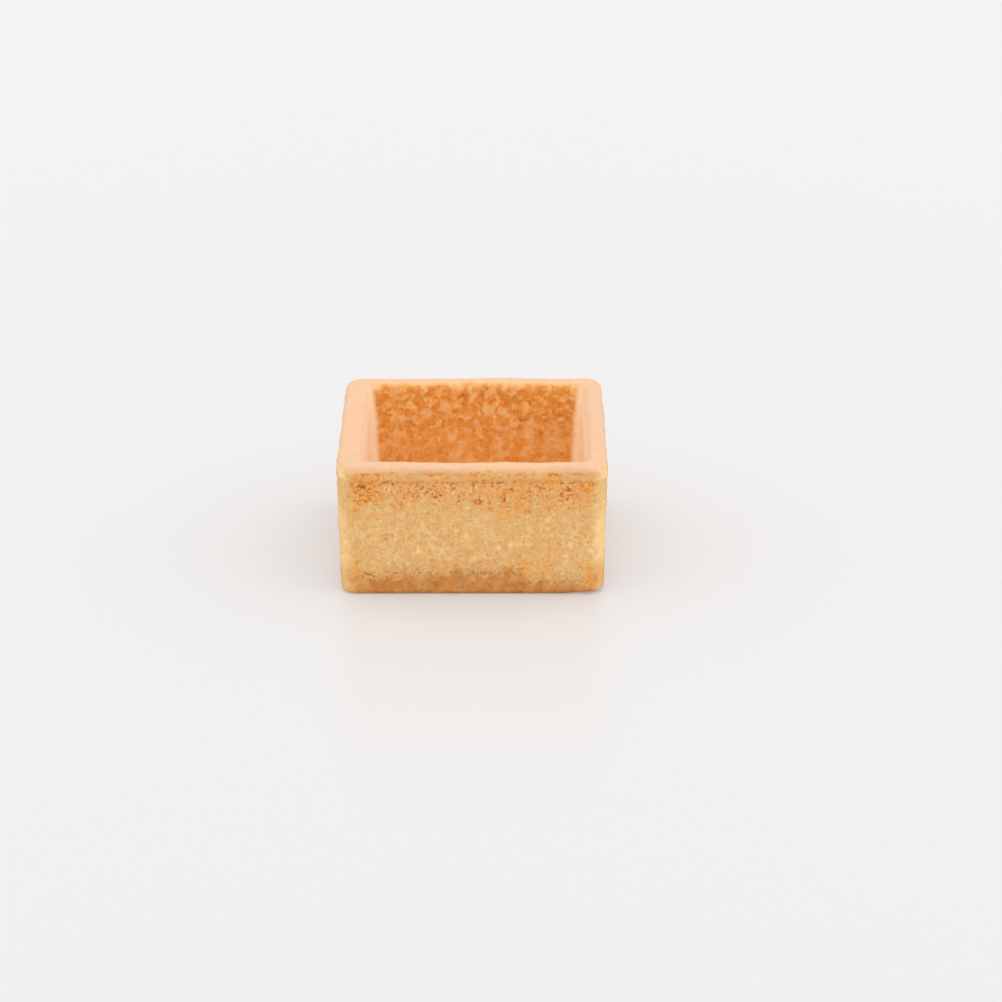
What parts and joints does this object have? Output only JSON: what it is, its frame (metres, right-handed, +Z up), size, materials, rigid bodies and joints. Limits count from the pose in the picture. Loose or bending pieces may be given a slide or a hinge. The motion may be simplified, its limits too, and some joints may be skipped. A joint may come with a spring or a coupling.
{
  "type": "square tart shell",
  "caption": "Open-topped square tart shell of baked shortcrust pastry: a flat bottom sheet, upright walls with rounded corners, and a small lip at the rim.",
  "frame": {"origin": "centre of the underside, on the surface that the shell stands on", "axes": "+Z up out of the open top, X and Y square to the walls"},
  "size_m": [0.033, 0.033, 0.0168],
  "materials": {
    "base_pastry": "baked shortcrust, matt, caramel brown and smoother than the walls at its edge",
    "wall_pastry": "baked shortcrust, matt golden tan with fine pits, orange brown under the lip and inside, pale and smooth on the rim"
  },
  "bodies": {
    "root": {"base_sheet": "base_pastry", "wall_strip": "wall_pastry"}
  },
  "joints": []
}
